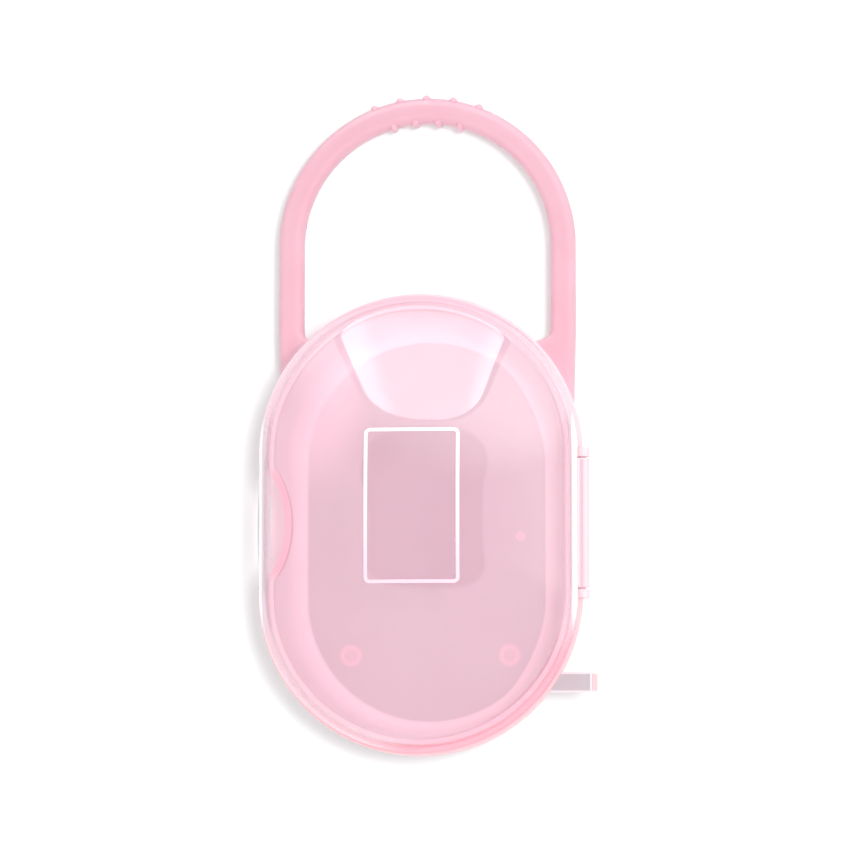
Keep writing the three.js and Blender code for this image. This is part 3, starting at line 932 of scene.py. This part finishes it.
def tab_mesh():
    """The flat tab: a rounded plate whose root is sunk in the rim"""
    tray = settings().tray
    rim = tray.radius + tray.band_outset
    root = math.sqrt(rim**2 - tray.tab_drop**2) - tray.band_depth - tray.wall * 0.5
    tip = rim + tray.tab_outset
    top = tray.depth - tray.tab_step
    bm = bmesh.new()
    place = ((tip + root) / 2, -(tray.straight / 2 + tray.tab_drop), top - tray.tab_thickness)
    corners = add_plate(bm, tip - root, tray.tab_width, place)
    round_off(bm, [v for v in corners if v.co.x > place[0]], TAB_CORNER, 6, "VERTICES")
    thicken(bm, tray.tab_thickness)
    end = [e for e in bm.edges if all(v.co.z > top - 1e-6 and v.co.x > tip - 1e-6 for v in e.verts)]
    round_off(bm, end, TAB_TIP_EDGE, 4)
    round_off(bm, sharp_edges(bm), TAB_EDGE, 3)
    return bm


def ring_feet_mesh():
    """A rounded section for each foot, turned about the foot's own axis"""
    tray = settings().tray
    height = tray.foot_height + tray.wall * 0.3
    middle = (tray.foot_radius + tray.foot_bore) / 2
    bm = bmesh.new()
    for x in (-tray.foot_x, tray.foot_x):
        for y in (-tray.foot_y, tray.foot_y):
            before = set(bm.verts)
            section = add_plate(bm, tray.foot_radius - tray.foot_bore, height)
            stand_up(bm, section)
            move(bm, section, (x + middle, y, height / 2 - tray.foot_height))
            round_off(bm, [v for v in section if v.co.z < 0], FOOT_EDGE, 3, "VERTICES")
            line = [v for v in bm.verts if v not in before]
            edges = list({e for v in line for e in v.link_edges})
            bmesh.ops.delete(bm, geom=list({f for v in line for f in v.link_faces}), context="FACES_ONLY")
            turn(bm, line + edges, (x, y, 0), 2 * math.pi, ROD_SIDES, True)
    bmesh.ops.remove_doubles(bm, verts=bm.verts[:], dist=TINY)
    face_out(bm)
    return bm


def dome_height(x, y):
    """Height of the lid's outer surface over a point, found by halving"""
    tray, lid = settings().tray, settings().lid
    low, high = 0.0, 1.0
    for _ in range(40):
        level = (low + high) / 2
        past = max(0.0, abs(y) - tray.straight / 2 * level)
        if math.hypot(x, past) > tray.radius * level:
            low = level
        else:
            high = level
    return tray.depth + lid.gap + lid.skirt + lid.dome * math.sqrt(max(0.0, 1 - high * high))


def dome_line(radius, foot, height):
    """A quarter oval from the skirt to the top, along which the straight shrinks to nothing"""
    steps = settings().lid.dome_steps
    angles = [i / steps * math.pi / 2 for i in range(steps)]
    line = [(radius * math.cos(a), foot + height * math.sin(a), 0.0, math.cos(a)) for a in angles]
    return line + [(0.0, foot + height, 0.0, 0.0)]


def lid_shell_mesh():
    tray, lid = settings().tray, settings().lid
    bottom = tray.depth + lid.gap
    foot = bottom + lid.skirt
    inner = tray.radius - lid.wall
    bead = tray.depth + tray.bead_rise
    skirt = [
        (inner, bead + tray.bead_height),
        (inner + tray.bead_depth, bead + tray.bead_height / 2),
        (inner, bead),
        (inner, bottom, lid.edge * 0.5),
        (tray.radius, bottom, lid.edge),
        (tray.radius, bottom + lid.skirt * 0.5),
    ]
    inside = dome_line(inner, foot, lid.dome - lid.wall)
    bm = bmesh.new()
    add_profile(bm, inside[::-1] + skirt + dome_line(tray.radius, foot, lid.dome))
    turn_oval(bm, 16)
    return bm


def finger_edge_mesh():
    """A flat plate, curved on its outer side, whose root is sunk in the lid's skirt"""
    tray, lid = settings().tray, settings().lid
    half = lid.finger_length / 2
    curve = (half**2 + lid.finger_outset**2) / (2 * lid.finger_outset)
    middle = -tray.radius + lid.wall / 4
    bm = bmesh.new()
    add_plate(bm, lid.wall / 2, lid.finger_length, (middle, 0, tray.depth + lid.gap))
    long_edges = [e for e in bm.edges if e.calc_length() > half]
    bmesh.ops.subdivide_edges(bm, edges=long_edges, cuts=47, use_grid_fill=True)
    for v in bm.verts:
        if v.co.x < middle:
            v.co.x -= math.sqrt(curve**2 - v.co.y**2) - (curve - lid.finger_outset)
    thicken(bm, lid.finger_height)
    round_off(bm, sharp_edges(bm), lid.edge, 3)
    return bm


def slit_mesh():
    """A block that opens the barrel from below, so that it snaps over the pin"""
    lid = settings().lid
    bm = bmesh.new()
    bmesh.ops.create_cube(bm, size=1.0)
    bmesh.ops.scale(bm, vec=(lid.slit, lid.hinge_length, 2 * lid.barrel_radius), verts=bm.verts[:])
    move(bm, bm.verts[:], (HINGE_X, 0, HINGE_Z - lid.barrel_radius))
    return bm


def bar_section(bm, width, place):
    """The bar's rounded section, standing across Y, as a closed line. Its inner half carries a mark."""
    handle = settings().handle
    inner = bm.verts.layers.float.new("inner")
    corners = add_plate(bm, width, handle.thickness)
    round_off(bm, corners, handle.edge, 8, "VERTICES")
    bmesh.ops.delete(bm, geom=bm.faces[:], context="FACES_ONLY")
    stand_up(bm, bm.verts[:])
    for v in bm.verts:
        v[inner] = 1.0 if v.co.x < 0 else 0.0
    move(bm, bm.verts[:], place)
    return inner


def web_rows(leg_in, web_x, web_y, centre):
    """The inner side's X and Y, row by row, from the arch down the leg and along the web to the roots"""
    tray, handle = settings().tray, settings().handle
    root_top = web_y + handle.web_rise
    corner = Vector((leg_in, web_y + handle.web_knee))
    foot, climb = Vector((web_x, web_y)), Vector((leg_in, root_top))
    bends = climb.lerp(corner, WEB_SHARES[0]), corner.lerp(foot, WEB_SHARES[1])
    rows = [(leg_in, root_top + (centre - root_top) * share) for share in LEG_SHARES]
    rows += [(p.x, p.y) for p in interpolate_bezier(climb, *bends, foot, 16)]
    return rows + [(web_x, tray.straight / 2)], root_top


def handle_mesh(centre, outer):
    """The whole handle: an arch, two legs, and the roots that widen into webs along the tray's wall"""
    tray, handle = settings().tray, settings().handle
    leg_in = outer - handle.width
    end = tray.straight / 2
    wall_middle = wall_radius_at(handle.height, tray.wall / 2)
    web_x = leg_in - handle.web_reach
    rows, root_top = web_rows(leg_in, web_x, end + math.sqrt(wall_middle**2 - web_x**2), centre)
    bm = bmesh.new()
    inner = bar_section(bm, handle.width, ((outer + leg_in) / 2, centre, handle.height))
    turn(bm, bm.verts[:] + bm.edges[:], (0, centre, 0), math.pi, handle.steps, False)
    open_ends = [e for e in bm.edges if e.is_boundary and abs(e.verts[0].co.y - centre) < 1e-6]
    for side in (1, -1):
        line = [e for e in open_ends if e.verts[0].co.x * side > 0]
        last_in, last_out = leg_in, outer
        for inner_x, y in rows:
            outer_x = outer - (outer - wall_middle) * max(0.0, (root_top - y) / (root_top - end))
            new = bmesh.ops.extrude_edge_only(bm, edges=line)["geom"]
            for v in [g for g in new if isinstance(g, bmesh.types.BMVert)]:
                v.co.y = y
                v.co.x -= side * ((last_in - inner_x) if v[inner] else (last_out - outer_x))
            edges = [g for g in new if isinstance(g, bmesh.types.BMEdge)]
            line = [e for e in edges if all(abs(v.co.y - y) < 1e-6 for v in e.verts)]
            last_in, last_out = inner_x, outer_x
    bmesh.ops.holes_fill(bm, edges=[e for e in bm.edges if e.is_boundary], sides=0)
    face_out(bm)
    return bm


def add_ribs(bm, number_of, radius, centre):
    """Short round bars across the handle, evenly spaced about its crown"""
    handle = settings().handle
    half = handle.thickness / 2 - handle.rib_radius - handle.rib_end
    for i in range(number_of):
        angle = (i - (number_of - 1) / 2) * handle.rib_pitch
        made = bmesh.ops.create_uvsphere(bm, u_segments=24, v_segments=16, radius=handle.rib_radius)["verts"]
        for v in made:
            if abs(v.co.z) > TINY:
                v.co.z += math.copysign(half, v.co.z)
        move(bm, made, (radius * math.sin(angle), centre + radius * math.cos(angle), handle.height))


def wall_block_mesh():
    """What the handle's roots leave free: all that lies inside the middle of the tray's wall"""
    tray = settings().tray
    line = wall_line(tray.wall / 2)
    bm = bmesh.new()
    add_profile(bm, [(0.0, tray.wall / 2), *line, (0.0, line[-1][1])])
    turn_oval(bm, 1)
    return bm


def print_mesh():
    """A plain frame with round corners, laid on the dome"""
    label = settings().label
    bm = bmesh.new()
    corners = add_plate(bm, label.width, label.height)
    round_off(bm, corners, label.corner, 8, "VERTICES")
    middle = bm.faces[:]
    bmesh.ops.inset_region(bm, faces=middle, thickness=label.line, use_even_offset=True, use_boundary=True)
    bmesh.ops.delete(bm, geom=middle, context="FACES_ONLY")
    sides = [e for e in bm.edges if e.calc_length() > label.width / 2]
    bmesh.ops.subdivide_edges(bm, edges=sides, cuts=40, use_grid_fill=True)
    move(bm, bm.verts[:], (0, label.rise, 0))
    face_out(bm)
    if sum(f.normal.z for f in bm.faces) < 0:
        bmesh.ops.reverse_faces(bm, faces=bm.faces[:])
    for v in bm.verts:
        v.co.z = dome_height(v.co.x, v.co.y) + label.ink * 1.5
    bmesh.ops.solidify(bm, geom=bm.faces[:], thickness=label.ink)
    return bm


# Operators, one for each piece or group of like pieces


class BOX_OT_tray(Operator):
    """Makes the tray with its rim, lip, thumb dish and hinge ears"""

    bl_idname = "pacifier_box.make_tray"
    bl_label = "Make Tray"

    def execute(self, context):
        lid = settings().lid
        ears = lid.hinge_length / 2
        free = ears - lid.ear_width
        bored = ears - lid.ear_floor
        piece = new_object("tray_shell", tray_shell_mesh())
        combine(piece, "DIFFERENCE", hinge_rods(lid.barrel_radius + lid.gap, (-free, free)))
        combine(piece, "UNION", hinge_rods(lid.barrel_radius, *both_sides(free, ears), edge=lid.ear_edge))
        combine(piece, "DIFFERENCE", hinge_rods(lid.bore_radius, (-bored, bored)))
        combine(piece, "DIFFERENCE", gate_mesh())
        finish_piece(piece, 38, tray_plastic(), "base", "pink_plastic", "base_tray")
        return {"FINISHED"}


class BOX_OT_tab(Operator):
    """Makes the flat tab on the rim"""

    bl_idname = "pacifier_box.make_tab"
    bl_label = "Make Tab"

    def execute(self, context):
        finish_piece(new_object("side_tab", tab_mesh()), 35, tab_plastic(), "base", "pink_plastic")
        return {"FINISHED"}


class BOX_OT_feet(Operator):
    """Makes the four ring feet on the back"""

    bl_idname = "pacifier_box.make_feet"
    bl_label = "Make Ring Feet"

    def execute(self, context):
        finish_piece(new_object("ring_feet", ring_feet_mesh()), 35, bar_plastic(), "base", "pink_plastic")
        return {"FINISHED"}


class BOX_OT_handle(Operator):
    """Makes the loop handle with its grip ribs and its roots on the tray"""

    bl_idname = "pacifier_box.make_handle"
    bl_label = "Make Handle"

    def execute(self, context):
        tray, handle = settings().tray, settings().handle
        centre = tray.straight / 2 + handle.rise
        outer = tray.radius - handle.inset
        piece = new_object("handle_loop", handle_mesh(centre, outer))
        combine(piece, "DIFFERENCE", wall_block_mesh())
        ribs = bmesh.new()
        add_ribs(ribs, handle.outer_ribs, outer + handle.rib_height - handle.rib_radius, centre)
        inner = outer - handle.width - handle.rib_height + handle.rib_radius
        add_ribs(ribs, handle.inner_ribs, inner, centre)
        combine(piece, "UNION", ribs)
        finish_piece(piece, 38, bar_plastic(), "base", "pink_plastic", "carry_handle")
        return {"FINISHED"}


class BOX_OT_lid(Operator):
    """Makes the clear lid with its finger edge and its hinge barrel"""

    bl_idname = "pacifier_box.make_lid"
    bl_label = "Make Lid"

    def execute(self, context):
        lid = settings().lid
        ears = lid.hinge_length / 2
        free = ears - lid.ear_width - lid.gap
        piece = new_object("lid_shell", lid_shell_mesh())
        combine(piece, "UNION", finger_edge_mesh())
        rooms = hinge_rods(lid.barrel_radius + lid.gap, *both_sides(free, ears + lid.gap))
        combine(piece, "DIFFERENCE", rooms)
        combine(piece, "UNION", hinge_rods(lid.barrel_radius, (-free, free), edge=lid.barrel_edge))
        combine(piece, "DIFFERENCE", hinge_rods(lid.bore_radius, (-ears, ears)))
        combine(piece, "DIFFERENCE", slit_mesh())
        finish_piece(piece, 12, clear_plastic(), "cover", "clear_plastic", "lid")
        return {"FINISHED"}


class BOX_OT_pin(Operator):
    """Gives the hinge pin its finish"""

    bl_idname = "pacifier_box.finish_pin"
    bl_label = "Finish Hinge Pin"

    def execute(self, context):
        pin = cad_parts["hinge_pin"]
        dress(pin, bar_plastic())
        return {"FINISHED"}


class BOX_OT_print(Operator):
    """Prints a plain frame with round corners on the lid"""

    bl_idname = "pacifier_box.make_print"
    bl_label = "Make Printed Frame"

    def execute(self, context):
        finish_piece(new_object("print_frame", print_mesh()), 50, white_ink(), "cover", "white_print")
        return {"FINISHED"}


# The stage. Places are counted from the box, and EYE from its rim.

EYE = Vector((0.0906, -0.068, 1.0))
AIM = (0.00116, 0.02245)
FIELD = 0.1925
SENSOR = 36.0
CLIP = (0.05, 20.0)
FLOOR_REACH = 3.0
FLOOR_LIFT = 0.09
SOFTBOX_SIZE = (1.39, 2.80)
SOFTBOX_AWAY = 1.2
SOFTBOX_CORNER = 0.66
SOFTBOX_SIDES = 2.0
BRIGHT_SHARE = 0.6
FRAME_EDGE = 0.09
FRAME_CORNER = 0.72
FRAME_STEP = 0.01
FRAME_GLOW = 1.3
PANEL_STRETCH = 1.5
PANEL_SHIFT = 0.09
LOWER_LEFT_CORNER = 0.25
LOWER_RIGHT_CORNER = 0.18
KEY_PLACE = Vector((0.22, 0.0, 1.1))
KEY_SIZE = 0.18
OPENING = ((-0.002, 0.41), (0.119, 0.28))
OPENING_EDGE = (0.85, 1.15)
OPENING_SHARE = 0.98
FAR_WALL = (0.15, 0.6)
FAR_WALL_TURN = 0.3
FAR_WALL_GLOW = 2.4


def glowing(name, base, roughness=0.5):
    """A dull material that glows white, and its shader"""
    material, shader, _ = start_material(name)
    white = (1.0, 1.0, 1.0, 1.0)
    feed(shader, Base_Color=(*base, 1.0), Roughness=roughness, Specular_IOR_Level=0.0, Emission_Color=white)
    return material, shader


class BOX_OT_stage(Operator):
    """Sets up the floor, the white room, the lamps and the camera"""

    bl_idname = "pacifier_box.make_stage"
    bl_label = "Make Stage"

    def execute(self, context):
        context.scene.view_settings.view_transform = "Standard"
        studio = settings().studio
        self.add_floor(studio.floor)
        self.add_camera(context.scene)
        self.light_room(context.scene, studio.room)
        self.add_softbox(studio.softbox)
        self.add_key(context.scene, studio.key)
        return {"FINISHED"}

    def add_floor(self, rgb):
        """A dull floor under the feet, which the camera sees a little brighter"""
        bm = bmesh.new()
        bmesh.ops.create_grid(bm, x_segments=2, y_segments=2, size=FLOOR_REACH)
        move(bm, bm.verts[:], (0, 0, CAD_BOX[0].z))
        material, shader = glowing("white_floor", rgb, 0.9)
        path = add_node(material.node_tree, "LightPath")
        feed(shader, Emission_Strength=product(path.outputs["Is Camera Ray"], FLOOR_LIFT))
        floor = new_object("studio_floor", bm)
        dress(floor, finished(material))

    def add_camera(self, scene):
        """The camera, upright in the picture and turned to its aim"""
        rim = settings().tray.depth
        aim = Vector((*AIM, rim))
        eye = EYE + Vector((0, 0, rim))
        back = (eye - aim).normalized()
        right = Vector((0, 1, 0)).cross(back).normalized()
        camera = bpy.data.objects.new("camera", bpy.data.cameras.new("camera"))
        scene.collection.objects.link(camera)
        camera.location = eye
        camera.rotation_euler = Matrix((right, back.cross(right), back)).transposed().to_euler()
        camera.data.sensor_width = SENSOR
        camera.data.lens = SENSOR * (eye - aim).length / FIELD
        camera.data.clip_start, camera.data.clip_end = CLIP
        scene.camera = camera

    def add_panel(self, name, wide, high, corner, away, material):
        """An upright panel that only gloss shows, with large round corners above and small ones below"""
        bm = bmesh.new()
        corners = add_plate(bm, wide, high / PANEL_STRETCH)
        left, right = [[v for v in corners if v.co.y < 0 and v.co.x * side > 0] for side in (-1, 1)]
        round_off(bm, [v for v in corners if v.co.y > 0], corner, 12, "VERTICES")
        round_off(bm, left, LOWER_LEFT_CORNER, 8, "VERTICES")
        round_off(bm, right, LOWER_RIGHT_CORNER, 8, "VERTICES")
        bmesh.ops.scale(bm, vec=(1, PANEL_STRETCH, 1), verts=bm.verts[:])
        for v in bm.verts:
            if v.co.x < 0:
                v.co.x -= PANEL_SHIFT
        stand_up(bm, bm.verts[:])
        move(bm, bm.verts[:], (0, away, high / 2))
        panel = new_object(name, bm)
        dress(panel, material)
        material.cycles.emission_sampling = "NONE"
        panel.visible_camera = False
        panel.visible_diffuse = False
        panel.visible_shadow = False
        panel.visible_transmission = False

    def add_softbox(self, strength):
        """A lit panel beyond the handle, brighter at its sides, in a dimmer frame"""
        wide, high = SOFTBOX_SIZE
        material, _, output = start_material("softbox_glow")
        across = maths("ABSOLUTE", coordinates(material.node_tree)[1])
        sides = (wide / 2 * BRIGHT_SHARE, wide / 2)
        glow = rise(across, sides, least=strength, most=strength + SOFTBOX_SIDES)
        glow = add_node(material.node_tree, "Emission", Strength=glow)
        feed(output, Surface=glow.outputs["Emission"])
        self.add_panel("studio_softbox", wide, high, SOFTBOX_CORNER, SOFTBOX_AWAY, finished(material))
        material, shader = glowing("softbox_frame", (0.01, 0.01, 0.01))
        feed(shader, Emission_Strength=FRAME_GLOW)
        wide, high, away = wide + 2 * FRAME_EDGE, high + FRAME_EDGE, SOFTBOX_AWAY + FRAME_STEP
        self.add_panel("studio_frame", wide, high, FRAME_CORNER, away, finished(material))

    def add_key(self, scene, power):
        """A soft lamp a little to the right of straight above, for the shadows"""
        data = bpy.data.lights.new("key", "AREA")
        data.shape = "DISK"
        data.size, data.energy = KEY_SIZE, power
        lamp = bpy.data.objects.new("key", data)
        lamp.location = KEY_PLACE
        lamp.rotation_euler = (-KEY_PLACE).to_track_quat("-Z", "Y").to_euler()
        lamp.visible_camera = False
        lamp.visible_glossy = False
        lamp.visible_transmission = False
        scene.collection.objects.link(lamp)

    def light_room(self, scene, strength):
        """A white room. Gloss shows an unlit opening in its ceiling and a brighter far wall."""
        world = bpy.data.worlds.new("white_room")
        world.use_nodes = True
        scene.world = world
        tree = world.node_tree
        tree.nodes.clear()
        way = add_node(tree, "TexCoord").outputs["Generated"]
        x, y, z = add_node(tree, "SeparateXYZ", Vector=way).outputs
        spread = []
        for axis, (lean, size) in zip((x, y), OPENING):
            tilt = maths("SUBTRACT", maths("DIVIDE", axis, z), lean)
            spread.append(maths("POWER", maths("ABSOLUTE", maths("DIVIDE", tilt, size)), 3.0))
        unlit = rise(maths("ADD", *spread), OPENING_EDGE, least=-OPENING_SHARE * strength, most=0.0)
        far = rise(maths("MULTIPLY_ADD", x, FAR_WALL_TURN, y), FAR_WALL, most=FAR_WALL_GLOW)
        path = add_node(tree, "LightPath").outputs
        change = product(maths("ADD", unlit, far), path["Is Glossy Ray"])
        glow = highest(maths("ADD", strength, change), path["Is Camera Ray"])
        glow = add_node(tree, "Background", Strength=glow)
        add_node(tree, "OutputWorld", Surface=glow.outputs["Background"])
        lay_out(tree)


class BOX_PT_panel(Panel):
    """The box's sizes and finishes, and a button for each piece"""

    bl_label = "Pacifier Box"
    bl_idname = "BOX_PT_panel"
    bl_space_type = "VIEW_3D"
    bl_region_type = "UI"
    bl_category = "Pacifier Box"

    def draw(self, context):
        box = context.scene.pacifier_box
        for title, group in (
            ("Tray", box.tray), ("Handle", box.handle), ("Lid", box.lid),
            ("Printed frame", box.label), ("Finishes", box.finish), ("Studio", box.studio),
        ):
            part = self.layout.box()
            part.label(text=title)
            for name in group.bl_rna.properties.keys():
                if name not in ("rna_type", "name"):
                    part.prop(group, name)
        for maker in MAKERS:
            self.layout.operator(maker.bl_idname)


MAKERS = (
    BOX_OT_stage, BOX_OT_tray, BOX_OT_tab, BOX_OT_feet, BOX_OT_handle, BOX_OT_pin, BOX_OT_lid, BOX_OT_print
)
CLASSES = (
    TraySizes, HandleSizes, LidSizes, PrintSizes, Finishes, StudioLight, BoxSettings, *MAKERS, BOX_PT_panel
)


def register():
    for kind in CLASSES:
        bpy.utils.register_class(kind)
    bpy.types.Scene.pacifier_box = PointerProperty(type=BoxSettings)


def unregister():
    del bpy.types.Scene.pacifier_box
    for kind in reversed(CLASSES):
        bpy.utils.unregister_class(kind)


def main():
    register()
    bpy.ops.pacifier_box.make_stage()
    bpy.ops.pacifier_box.make_tray()
    bpy.ops.pacifier_box.make_tab()
    bpy.ops.pacifier_box.make_feet()
    bpy.ops.pacifier_box.make_handle()
    bpy.ops.pacifier_box.finish_pin()
    bpy.ops.pacifier_box.make_lid()
    bpy.ops.pacifier_box.make_print()


if __name__ == "__main__":
    main()
